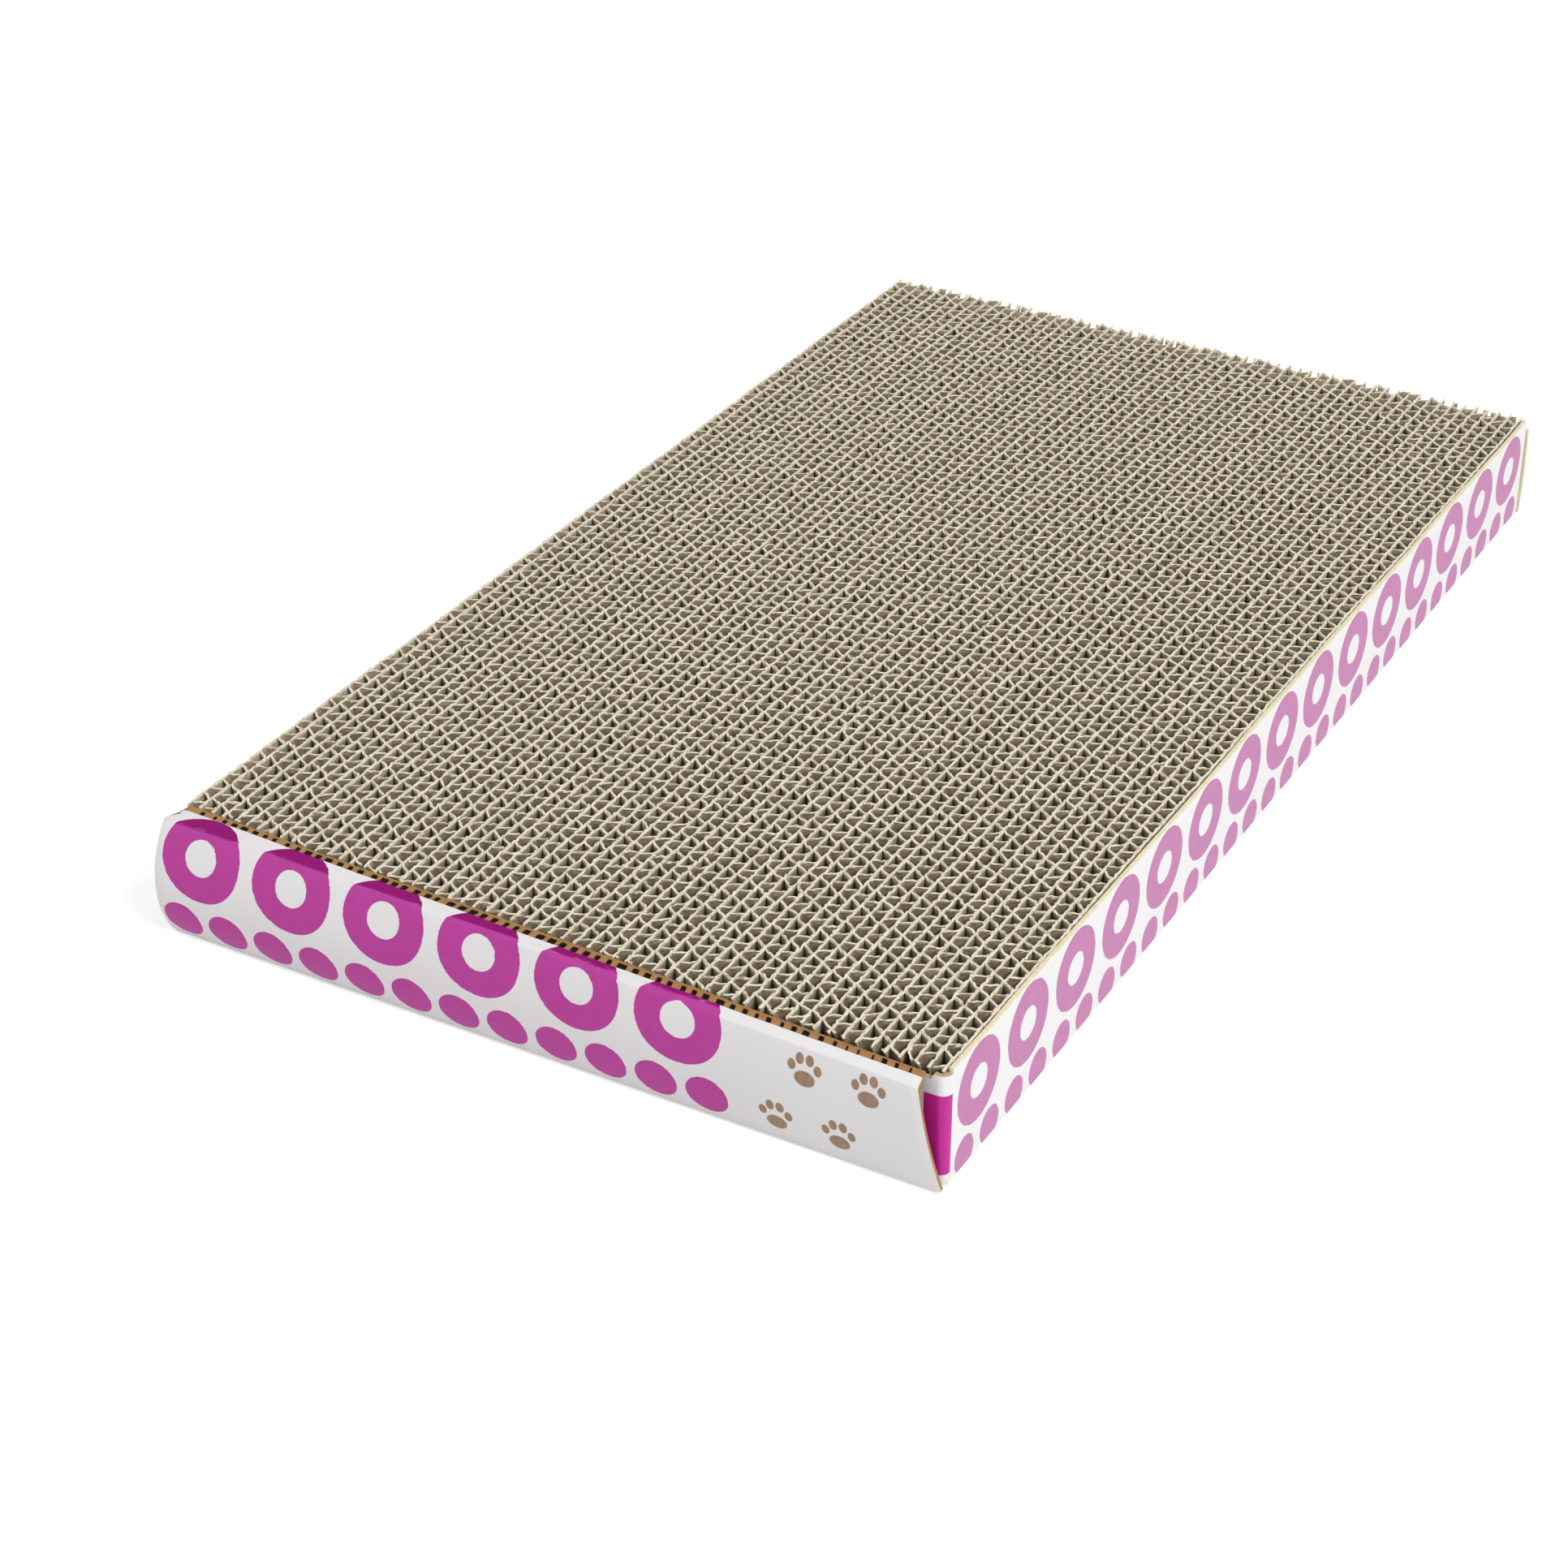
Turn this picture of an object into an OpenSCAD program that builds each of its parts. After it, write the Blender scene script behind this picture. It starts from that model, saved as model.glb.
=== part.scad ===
// Cardboard cat scratcher: a pad of upright fluted paper strips in a low printed tray.
// The tray is folded from one blank. Its panels are separate nodes that meet at the folds.
// Frame: x across the width, y along the length with the front flap at -y, z up,
// underside at z = 0. All lengths are in mm and all angles in degrees.

/* [Tray] */
// Length of the tray over its two corner tabs
tray_length = 457.2; // [300:0.1:700]
// Width over the two side walls
tray_width = 254; // [150:0.1:400]
// Height of the right wall and of the pad's top
tray_height = 38.1; // [25:0.1:80]
// Drop of the left wall's top edge below the right wall's
left_wall_drop = 2.9; // [0.5:0.1:6]
// Thickness of the corrugated board
board = 1.6; // [1:0.1:4]
// Outer radius of the fold between the floor and a wall
fold_radius = 2; // [1.7:0.1:6]
// Outer radius of the bend between a wall and its corner tab
corner_radius = 3; // [2:0.1:8]
// Board thickness left at a cut edge, where the die has crushed it
rim_thickness = 1.0; // [0.6:0.05:2]
// Height over which the edge is crushed
rim_height = 1.5; // [0.5:0.1:4]

/* [Corner tabs] */
// Length of a tab along the end of the tray
tab_length = 72; // [30:1:120]
// Clearance between a tab's top and the middle of the crease above it
tab_drop = 2.2; // [1.4:0.1:10]
// Drop of the front right tab's corner below the wall, where no band lies over it
open_corner_drop = 1.5; // [0.2:0.1:3]
// Length of that higher part, from the corner
open_corner_length = 0.5; // [0.1:0.1:10]
// Corner chamfer at the free end of a tab
tab_chamfer = 6; // [1:0.5:20]

/* [Front flap] */
// Drop of the crease between the panel and the band below the pad's top
crease_drop = 0.1; // [0:0.1:5]
// Distance of the hinge crease's centre in front of the tabs
hinge_setback = 0.8; // [0.5:0.05:3]
// How far the upper crease leans out beyond the hinge crease
flap_lean = 1.8; // [0:0.1:10]
// Outward bow of the panel at mid height
flap_bow = 3.8; // [1:0.1:12]
// Width of the printed band at the left end
band_width_left = 8.6; // [3:0.1:20]
// Width of the printed band at the right end
band_width_right = 0.6; // [0.4:0.1:20]
// Downward slope of the band towards the pad, degrees
band_slope = 1; // [0.5:0.5:30]
// Width of the slanting cut along the band's free edge
bevel_width = 3.4; // [0.5:0.1:6]
// Narrowing of the flap at the top of its right end
end_taper = 6; // [0:0.1:15]
// Trim of the band's left end, which keeps it inside the wall
band_trim = 2.2; // [1.8:0.1:8]
// Pitch of the board's own flutes, open in the slanting cut
board_flute = 4; // [2:0.1:8]
// Depth of these openings
board_flute_depth = 2.8; // [0.5:0.1:6]
// Thickness of the board's paper facings
facing = 0.3; // [0.15:0.05:0.6]

/* [Back flap] */
// Drop of the back flap's top edge below the pad's top
back_flap_drop = 5; // [1:0.1:10]
// Outward bow of the back flap
back_flap_bow = 1.2; // [0.5:0.1:8]

/* [Scratching pad] */
// Number of strips across the width
strip_count = 59; // [10:1:120]
// Number of named bundles that the strips are shared among
bundle_count = 30; // [5:1:50]
// Pitch of the flutes along a strip
flute_pitch = 9; // [5:0.1:20]
// Thickness of the flat liner paper
liner_thickness = 0.3; // [0.2:0.05:1]
// Thickness of the zigzag medium paper
medium_thickness = 0.25; // [0.2:0.05:1]
// Glue line between neighbouring strips
glue_gap = 0.05; // [0.02:0.01:0.3]
// Clearance between the pad and each side wall
side_clearance = 0.4; // [0.1:0.05:3]
// Clearance between the pad and the back tabs
back_clearance = 0.5; // [0.3:0.1:10]
// Clearance between the pad's front end and the flap's band or the front tabs
front_clearance = 0.5; // [0.3:0.05:5]
// Half of how far the strips' front ends are out of line with each other
front_raggedness = 0.35; // [0.05:0.05:2]
// Half of how far the strips' back ends are out of line with each other
back_raggedness = 1.2; // [0.05:0.05:4]

/* [Node] */
// Which node to build

/* [Hidden] */
// Smoothness of the curves in a quick preview
$fa = 6;
$fs = 0.4;
// Share of a pitch by which the flutes shift from one strip to the next
phase_step_share = 0.37;
// Share of a pitch by which that shift wanders
phase_wander_share = 0.22;
// Angle that drives the wander, per strip
wander_angle = 97;
// Angle that drives the ragged ends, per strip
ragged_angle = 137;
half_share = 0.5;
// Share of the arc's radius by which its cutting wedge reaches past it
wedge_share = 0.3;
wall_run = tray_length - 2 * corner_radius;
floor_width = tray_width - 2 * fold_radius;
fold_clearance = board / 16;
pad_width = tray_width - 2 * board - 2 * side_clearance;
pad_height = tray_height - board;
strip_pitch = pad_width / strip_count;
strip_depth = strip_pitch - glue_gap;
wave_height = strip_depth - liner_thickness;
band_edge_angle = atan2(band_width_left - band_width_right, tray_width);
crease_height = tray_height - crease_drop;
back_flap_top = tray_height - back_flap_drop;
tab_top = crease_height - board / 2 - tab_drop;
open_corner_top = tray_height - open_corner_drop;
band_left_reach = (band_width_left + bevel_width) * cos(band_slope) - hinge_setback - flap_lean;
band_right_reach = (band_width_right + bevel_width) * cos(band_slope) - hinge_setback - flap_lean;
pad_setback_left = max(band_left_reach, board) + front_clearance;
pad_setback_right = max(band_right_reach, board) + front_clearance;
front_y = -tray_length / 2;
back_y = tray_length / 2;

function bundle_name(k) = str("pad_bundle_", k < 9 ? "0" : "", k + 1);
function strip_bundle(j) = floor(j * bundle_count / strip_count);

// Floor panel between the two side folds, with straight ends just behind the flap hinges.
module tray_floor() {
    color("#c8a078")
    translate([-floor_width / 2, front_y + fold_clearance, 0])
    cube([floor_width, tray_length - 2 * fold_clearance, board]);
}

// Section of a side wall: quarter-round fold, upright board and crushed top edge.
module wall_section(top) {
    intersection() {
        difference() {
            circle(r = fold_radius);
            circle(r = fold_radius - board);
        }
        translate([-fold_radius, -fold_radius])
        square([fold_radius, fold_radius]);
    }
    polygon([
        [-fold_radius, 0],
        [-fold_radius + board, 0],
        [-fold_radius + board, top - fold_radius - rim_height],
        [-fold_radius + rim_thickness, top - fold_radius],
        [-fold_radius, top - fold_radius]
    ]);
}

// A wall on the left, along the tray between the bends of its corner tabs.
module side_wall(top) {
    translate([-tray_width / 2 + fold_radius, wall_run / 2, fold_radius])
    rotate([90, 0, 0])
    linear_extrude(wall_run)
    wall_section(top);
}

module left_wall() {
    color("#eef0ee")
    side_wall(tray_height - left_wall_drop);
}

module right_wall() {
    color("#eef0ee")
    mirror([1, 0, 0])
    side_wall(tray_height);
}

// Plan of a corner tab: bend round the corner, then straight along the end of the tray.
module tab_plan() {
    intersection() {
        difference() {
            circle(r = corner_radius);
            circle(r = corner_radius - board);
        }
        translate([-corner_radius, -corner_radius])
        square([corner_radius, corner_radius]);
    }
    translate([0, -corner_radius])
    square([tab_length - corner_radius, board]);
}

// A tab at the front left corner. Its top is high only over corner_length from the corner.
module corner_tab(corner_top, corner_length) {
    corner_x = -tray_width / 2 + corner_radius;
    free_x = -tray_width / 2 + tab_length;
    far_y = front_y + 2 * corner_radius;
    intersection() {
        translate([corner_x, front_y + corner_radius, board])
        linear_extrude(corner_top - board)
        tab_plan();
        translate([0, far_y, 0])
        rotate([90, 0, 0])
        linear_extrude(3 * corner_radius)
        polygon([
            [-tray_width, 0],
            [free_x, 0],
            [free_x, tab_top - tab_chamfer],
            [free_x - tab_chamfer, tab_top],
            [corner_x + corner_length + corner_top - tab_top, tab_top],
            [corner_x + corner_length, corner_top + board],
            [-tray_width, corner_top + board]
        ]);
    }
}

module front_left_tab() {
    color("#e4e4e2")
    corner_tab(tab_top, 0);
}

module front_right_tab() {
    color("#d04aa8")
    mirror([1, 0, 0])
    corner_tab(open_corner_top, open_corner_length);
}

module back_left_tab() {
    color("#e4e4e2")
    mirror([0, 1, 0])
    corner_tab(tab_top, 0);
}

module back_right_tab() {
    color("#e4e4e2")
    mirror([0, 1, 0])
    mirror([1, 0, 0])
    corner_tab(tab_top, 0);
}

// Section of a bowed board in a plane of x inwards and y upwards, with its lower end at the
// origin. Its mid line is an arc that ends rise above and lean outside the origin.
module bowed_board(rise, lean, bow) {
    chord = sqrt(rise * rise + lean * lean);
    radius = chord * chord / (8 * bow) + bow / 2;
    centre = [radius - bow, chord / 2];
    rotate(atan2(lean, rise))
    intersection() {
        translate(centre)
        difference() {
            circle(r = radius + board / 2);
            circle(r = radius - board / 2);
        }
        polygon([
            centre,
            -wedge_share * centre,
            [-wedge_share * centre[0], chord + wedge_share * centre[1]]
        ]);
    }
    circle(r = board / 2);
    translate([-lean, rise])
    circle(r = board / 2);
}

// Extrudes a section drawn in x inwards and y upwards over the flap's full width.
module across_width() {
    translate([-tray_width / 2, 0, 0])
    rotate([90, 0, 90])
    linear_extrude(tray_width)
    children();
}

// Moves its children to the crease, with y along the band and z out of its printed face.
module on_band() {
    translate([0, front_y - hinge_setback - flap_lean, crease_height - board / 2])
    rotate([-band_slope, 0, 0])
    children();
}

// Turns its children so that x follows the band's free edge from its left end.
module on_band_edge() {
    on_band()
    translate([-tray_width / 2, band_width_left, board / 2])
    rotate([0, 0, -band_edge_angle])
    children();
}

// Section of the front flap: bowed panel, rounded crease and a band wide enough for its left end.
module flap_section() {
    rise = crease_height - board;
    bowed_board(rise, flap_lean, flap_bow);
    translate([-flap_lean, rise])
    rotate(-band_slope)
    translate([0, -board / 2])
    square([band_width_left + bevel_width, board]);
}

// Everything beyond the slanting cut along the band's free edge.
module beyond_bevel() {
    on_band_edge()
    translate([-board, 0, 0])
    rotate([90, 0, 90])
    linear_extrude(tray_width + 2 * board)
    polygon([
        [-bevel_width, board],
        [2 * bevel_width, -2 * board],
        [6 * bevel_width, -2 * board],
        [6 * bevel_width, board]
    ]);
}

// Row of the board's own flutes, which open in the slanting cut.
module flute_openings() {
    slot = board_flute / 2;
    count = floor((tray_width - end_taper) / board_flute) - 1;
    on_band_edge()
    translate([board_flute, bevel_width - board_flute_depth, facing - board])
    linear_extrude(board - 2 * facing)
    for (i = [0:count - 1])
        translate([i * board_flute, 0])
        square([slot, 2 * board_flute_depth]);
}

// Material cut off at the right end, where the flap narrows towards the top.
module right_end_taper() {
    translate([0, front_y + tab_length / 2, 0])
    rotate([90, 0, 0])
    linear_extrude(tab_length)
    polygon([
        [tray_width / 2, 0],
        [tray_width / 2 - end_taper, crease_height],
        [tray_width / 2 - end_taper, 2 * crease_height],
        [tray_width, 2 * crease_height],
        [tray_width, 0]
    ]);
}

// Corner cut off the band's left end, so that it drops inside the wall.
module left_band_trim() {
    start = board / 2;
    on_band()
    translate([-tray_width / 2, 0, -2 * board])
    linear_extrude(4 * board)
    polygon([
        [-board, start - board],
        [0, start],
        [band_trim, start + band_trim],
        [band_trim, 2 * band_width_left + bevel_width],
        [-board, 2 * band_width_left + bevel_width]
    ]);
}

module front_flap() {
    color("#b8409a")
    difference() {
        translate([0, front_y - hinge_setback, board / 2])
        across_width()
        flap_section();
        beyond_bevel();
        flute_openings();
        right_end_taper();
        left_band_trim();
    }
}

// Back flap: the same board, flatter and lower, with a plain top edge.
module back_flap() {
    color("#b8409a")
    mirror([0, 1, 0])
    translate([0, front_y - hinge_setback, board / 2])
    across_width()
    bowed_board(back_flap_top - board, 0, back_flap_bow);
}

// Share of a pitch by which the flutes of strip j are shifted.
function phase(j) =
    let (turns = j * phase_step_share + phase_wander_share * sin(j * wander_angle))
    turns - floor(turns);

// Shape of one strip in plan, x along the strip and y across it, liner at y = 0.
module strip_plan(shift, flutes) {
    leg_run = flute_pitch / 2;
    leg = sqrt(leg_run * leg_run + wave_height * wave_height);
    foot = medium_thickness * leg / wave_height;
    crest = medium_thickness * leg / leg_run;
    last = shift + flutes * flute_pitch;
    front = [
        for (i = [0:flutes - 1])
            let (x = shift + i * flute_pitch)
            each [
                [x, liner_thickness],
                [x + leg_run, strip_depth]
            ]
    ];
    cells = [
        for (i = [0:flutes - 1])
            let (x = shift + i * flute_pitch)
            each [
                [x + foot, liner_thickness],
                [x + leg_run, strip_depth - crest],
                [x + flute_pitch - foot, liner_thickness]
            ]
    ];
    outline = concat([[shift, 0]], front, [[last, liner_thickness], [last, 0]]);
    size = len(outline);
    polygon(
        concat(outline, cells),
        concat(
            [[for (i = [0:size - 1]) i]],
            [for (i = [0:flutes - 1]) [size + 3 * i, size + 3 * i + 1, size + 3 * i + 2]]
        )
    );
}

// One strip of the pad, standing on edge: zigzag medium to the left of its flat liner.
module pad_strip(j) {
    place = -pad_width / 2 + j * strip_pitch;
    share = (j + half_share) / strip_count;
    setback = pad_setback_left + (pad_setback_right - pad_setback_left) * share;
    front_gap = front_raggedness * (1 + sin(j * ragged_angle));
    back_gap = back_raggedness * (1 + cos(j * ragged_angle));
    start = front_y + setback + front_gap;
    end = back_y - board - back_clearance - back_gap;
    shift = (phase(j) - 1) * flute_pitch;
    flutes = ceil((end - start - shift) / flute_pitch);
    translate([place + strip_depth, start, board])
    rotate([0, 0, 90])
    linear_extrude(pad_height)
    intersection() {
        strip_plan(shift, flutes);
        square([end - start, strip_pitch]);
    }
}

// The strips that share one named node.
module pad_bundle(k) {
    color("#c8a078")
    for (j = [0:strip_count - 1])
        if (strip_bundle(j) == k)
            pad_strip(j);
}

tray_floor();
left_wall();
right_wall();
front_left_tab();
front_right_tab();
back_left_tab();
back_right_tab();
front_flap();
back_flap();
for (k = [0:bundle_count - 1])
    pad_bundle(k);
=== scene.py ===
"""Cardboard cat scratcher: a pad of fluted paper strips in a printed, folded tray."""
import math

import bpy
import numpy as np
from mathutils import Matrix, Vector


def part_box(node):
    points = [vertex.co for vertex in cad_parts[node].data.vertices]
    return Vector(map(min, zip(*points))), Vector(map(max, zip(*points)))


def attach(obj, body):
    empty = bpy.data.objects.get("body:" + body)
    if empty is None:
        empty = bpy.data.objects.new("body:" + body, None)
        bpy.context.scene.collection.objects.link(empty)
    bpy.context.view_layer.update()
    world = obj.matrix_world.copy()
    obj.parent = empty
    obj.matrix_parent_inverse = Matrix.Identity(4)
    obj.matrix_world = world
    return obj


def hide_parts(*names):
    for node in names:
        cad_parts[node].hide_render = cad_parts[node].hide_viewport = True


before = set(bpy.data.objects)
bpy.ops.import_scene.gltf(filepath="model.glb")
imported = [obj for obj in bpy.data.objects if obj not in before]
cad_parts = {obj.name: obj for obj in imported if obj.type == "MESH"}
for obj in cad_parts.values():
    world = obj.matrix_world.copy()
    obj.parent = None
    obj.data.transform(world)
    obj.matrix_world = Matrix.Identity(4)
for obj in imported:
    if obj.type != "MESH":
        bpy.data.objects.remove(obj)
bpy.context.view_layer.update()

bl_info = {
    "name": "Cardboard Cat Scratcher",
    "version": (1, 0, 0),
    "blender": (4, 5, 0),
    "location": "3D View > Sidebar > Scratcher",
    "description": "Builds a cat scratcher of fluted paper strips in a printed cardboard tray",
    "category": "Object",
}

MM = 0.001  # one millimetre, in metres


def box_of(*nodes):
    """Lowest and highest corner of several CAD nodes together."""
    lows, highs = zip(*[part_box(name) for name in nodes])
    low = Vector([min(p[i] for p in lows) for i in range(3)])
    high = Vector([max(p[i] for p in highs) for i in range(3)])
    return low, high


BUNDLES = sorted(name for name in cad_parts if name.startswith("pad_bundle_"))
WALLS = box_of("left_wall", "right_wall")
TABS = box_of("front_left_tab", "back_right_tab")
PAD = box_of(*BUNDLES)


def rgb(red, green, blue):
    """A display colour of 0 to 255 as the linear colour that a shader takes, by the sRGB curve."""
    return tuple(
        c / 12.92 if c <= 0.04045 else ((c + 0.055) / 1.055) ** 2.4
        for c in (red / 255, green / 255, blue / 255)
    )


class ScratcherSizes(bpy.types.PropertyGroup):
    """Sizes of the tray and of its pad."""

    half_width: bpy.props.FloatProperty(
        name="Half width", description="Half the tray's width over its side walls",
        default=WALLS[1].x, unit="LENGTH")
    half_length: bpy.props.FloatProperty(
        name="Half length", description="Half the tray's length over its corner tabs",
        default=TABS[1].y, unit="LENGTH")
    height: bpy.props.FloatProperty(
        name="Height", description="Height of the side walls and of the pad's top",
        default=WALLS[1].z, unit="LENGTH")
    board: bpy.props.FloatProperty(
        name="Board", description="Thickness of the tray's corrugated board",
        default=PAD[0].z, unit="LENGTH")
    board_flute: bpy.props.FloatProperty(
        name="Board flute", description="Pitch of the tray board's own flutes",
        default=4 * MM, unit="LENGTH")
    strips: bpy.props.IntProperty(
        name="Strips", description="Number of fluted paper strips in the pad", default=59)
    flute: bpy.props.FloatProperty(
        name="Pad flute", description="Pitch of the pad's flutes",
        default=9 * MM, unit="LENGTH")
    paper: bpy.props.FloatProperty(
        name="Paper", description="Thickness of the pad's paper below its cut edge",
        default=0.34 * MM, unit="LENGTH")
    cut_edge: bpy.props.FloatProperty(
        name="Cut edge", description="Thickness of the paper at its fuzzy cut edge",
        default=0.68 * MM, unit="LENGTH")


def colour(name, words, value):
    """A colour setting with its default."""
    return bpy.props.FloatVectorProperty(
        name=name, description=words, subtype="COLOR", size=3, min=0, max=1, default=value)


class ScratcherColours(bpy.types.PropertyGroup):
    """Colours of the board, its print and the pad's paper, some of them with painted shade or
    sheen.
    """

    white: colour("White", "Coated outer facing of the board", rgb(236, 236, 235))
    # Painted shade: the front flap's white is a darker copy of the coated white, for its less lit
    # face.
    front_white_painted_shade: colour("Front white", "Coated facing of the front flap", rgb(231, 229, 229))
    # One magenta ink in three copies: the front ink holds some painted sheen, the band ink is a
    # darker copy with painted shade, the side ink a lighter copy with more painted sheen.
    ink_front: colour("Front ink", "Print on the end panels", rgb(186, 66, 155))
    ink_band_painted_shade: colour("Band ink", "Print on the band above the crease", rgb(146, 0, 112))
    ink_side_painted_sheen: colour("Side ink", "Print on the side walls", rgb(188, 109, 165))
    ink_stripe: colour("Stripe ink", "Stripe on the corner tab", rgb(196, 30, 150))
    kraft: colour("Kraft", "Bare brown facing and fluting of the board", rgb(172, 130, 84))
    rim: colour("Rim", "Crushed cut edge of the board", rgb(230, 221, 186))
    paper: colour("Pad paper", "Pad paper below its cut edge", rgb(184, 173, 151))
    paper_dark: colour("Rough side", "Rough side of the fluted paper", rgb(163, 146, 125))
    edge: colour("Pad edge", "Fuzzy cut edge of the pad paper", rgb(235, 226, 205))
    paw: colour("Paws", "Paw prints on the bare end of the front flap", rgb(158, 130, 106))
    worn: colour("Worn ink", "Rubbed print along the front flap's crease", rgb(222, 170, 205))
    # Painted shade: the near-black colour stands for the shade inside the board's open flutes.
    hollow: colour("Board hollow", "Inside of the board's open flutes", rgb(46, 32, 20))
    # Painted shade: the darker paper colour deep inside the pad's flutes stands for their shade.
    shadow: colour("Flute shadow", "Pad paper deep inside the flutes", rgb(113, 103, 85))


class ScratcherSettings(bpy.types.PropertyGroup):
    """All settings of the scratcher."""

    sizes: bpy.props.PointerProperty(type=ScratcherSizes)
    colours: bpy.props.PointerProperty(type=ScratcherColours)


# Materials


class Shader:
    """A material under construction. Its calls add nodes and return their output sockets."""

    def __init__(self, name):
        self.material = bpy.data.materials.new(name)
        self.material.use_nodes = True
        self.tree = self.material.node_tree
        self.surface = self.tree.nodes["Principled BSDF"]

    def add(self, kind, inputs, **settings):
        """One node with its settings and its inputs, by name or by number."""
        node = self.tree.nodes.new("ShaderNode" + kind)
        for key, value in settings.items():
            setattr(node, key, value)
        for key, value in inputs.items():
            self.feed(node.inputs[key], value)
        return node

    def feed(self, socket, value):
        """Links a socket, or sets a plain value."""
        if isinstance(value, bpy.types.NodeSocket):
            self.tree.links.new(value, socket)
        elif socket.type == "RGBA":
            socket.default_value = (*value[:3], 1)
        else:
            socket.default_value = value

    def calc(self, operation, *values):
        """A sum of one to three values."""
        return self.add("Math", dict(enumerate(values)), operation=operation).outputs[0]

    def step(self, value, low, high):
        """0 below low, 1 above high and a straight ramp between."""
        limits = {"Value": value, "From Min": low, "From Max": high}
        return self.add("MapRange", limits, clamp=True).outputs[0]

    def between(self, value, low, high, soft):
        """1 between low and high, 0 outside."""
        up = self.step(value, low - soft, low + soft)
        down = self.step(value, high + soft, high - soft)
        return self.calc("MULTIPLY", up, down)

    def noise(self, where, scale, detail=2.0, rough=0.5, stretch=None):
        """Noise of about 0 to 1, scale in lumps per metre."""
        if stretch:
            where = self.add("Mapping", {"Vector": where, "Scale": stretch}).outputs[0]
        inputs = {"Vector": where, "Scale": scale, "Detail": detail, "Roughness": rough}
        return self.add("TexNoise", inputs).outputs[0]

    def mix(self, factor, first, second):
        """Two colours mixed by a factor. They are the node's inputs 6 and 7 and its output 2."""
        node = self.add("Mix", {}, data_type="RGBA", clamp_factor=True)
        self.feed(node.inputs[0], factor)
        self.feed(node.inputs[6], first)
        self.feed(node.inputs[7], second)
        return node.outputs[2]

    def shade(self, colour, factor, amount):
        """A colour made lighter or darker by a factor of 0 to 1."""
        value = self.step(factor, 0.25, 0.75)
        value = self.calc("MULTIPLY_ADD", value, 2 * amount, 1 - amount)
        node = self.add("VectorMath", {0: colour}, operation="SCALE")
        self.feed(node.inputs[3], value)
        return node.outputs[0]

    def split(self, vector):
        """The three parts of a vector."""
        return self.add("SeparateXYZ", {0: vector}).outputs

    def length(self, x, y):
        """The length of a vector of two values."""
        spot = self.add("CombineXYZ", {0: x, 1: y}).outputs[0]
        return self.add("VectorMath", {0: spot}, operation="LENGTH").outputs["Value"]

    def places(self):
        """Object coordinates, and each of them in millimetres."""
        where = self.add("TexCoord", {}).outputs["Object"]
        return where, [self.calc("MULTIPLY", part, 1000) for part in self.split(where)]

    def print_places(self):
        """Millimetres across and up a panel, from its UV map."""
        return self.split(self.add("UVMap", {}, uv_map="print").outputs[0])[:2]

    def facing(self):
        """The three parts of the surface's normal."""
        return self.split(self.add("NewGeometry", {}).outputs["Normal"])

    def attribute(self, name):
        """A value that the mesh holds at its points."""
        return self.add("Attribute", {}, attribute_name=name).outputs["Fac"]

    def bump(self, height, distance, strength, under=None):
        """A bump over another one, distance in metres."""
        inputs = {"Height": height, "Distance": distance, "Strength": strength}
        if under:
            inputs["Normal"] = under
        return self.add("Bump", inputs).outputs[0]

    def finish(self, colour, roughness, normal, specular):
        """Feeds the surface and gives the material back."""
        self.feed(self.surface.inputs["Base Color"], colour)
        self.feed(self.surface.inputs["Roughness"], roughness)
        self.feed(self.surface.inputs["Normal"], normal)
        self.surface.inputs["Specular IOR Level"].default_value = specular
        return self.material


# All lengths of the print are in millimetres.
# A row of rings above a row of dots: the rings' pitch, height, outer and inner radius, then the
# dots' height and radius. The dots' pitch is half the rings'.
WALL_PRINT = (30.0, 24.6, 12.6, 5.0, 5.4, 5.6)
FRONT_PRINT = (32.0, 31.5, 13.6, 5.4, 8.6, 6.6)
BACK_PRINT = (32.0, 29.0, 13.6, 5.4, 7.6, 6.4)
# One paw print: place and half size of the heel and of the four toes.
PAW_PRINT = (
    (0, -2.4, 3.1, 2.5),
    (-3.9, 1.2, 1.2, 1.7), (-1.5, 3.7, 1.25, 1.8), (1.5, 3.7, 1.25, 1.8), (3.9, 1.2, 1.2, 1.7))
PAW_CELL = 19.0  # pitch of the paw prints
# Places on the front flap: the first ring, the print's right end and the first paw print, all
# across from its middle, and the height of its crease.
FIRST_RING, PRINT_END, PAWS_FROM, CREASE_AT = -15.0, 65.25, 69.0, 39.0
# Stripe on the corner tabs: its lowest and highest place, and how far from the middle it starts.
STRIPE_LOW, STRIPE_HIGH, STRIPE_FROM = 4.6, 30.3, 120.0
INK_BLUR = 0.12  # half the width of a print's soft outline
# The inside of an open flute, marked by OPEN_MARK, gets painted shade.
OPEN_MARK = 100.0  # height in the front flap's UV map that marks the inside of an open flute


def rings_and_dots(ink, along, up, rule):
    """Mask of a row of rings above a row of dots."""
    pitch, ring_at, ring, hole, dot_at, dot = rule
    masks = []
    for start, gap, level, outer, inner in (
            (0, pitch, ring_at, ring, hole), (pitch / 4, pitch / 2, dot_at, dot, 0)):
        side = ink.calc("ADD", along, start)
        side = ink.calc("WRAP", side, gap / 2, -gap / 2)
        level = ink.calc("SUBTRACT", up, level)
        far = ink.length(side, level)
        mask = ink.step(far, outer + INK_BLUR, outer - INK_BLUR)
        if inner:
            hollow = ink.step(far, inner - INK_BLUR, inner + INK_BLUR)
            mask = ink.calc("MULTIPLY", mask, hollow)
        masks.append(mask)
    return ink.calc("MAXIMUM", *masks)


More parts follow.
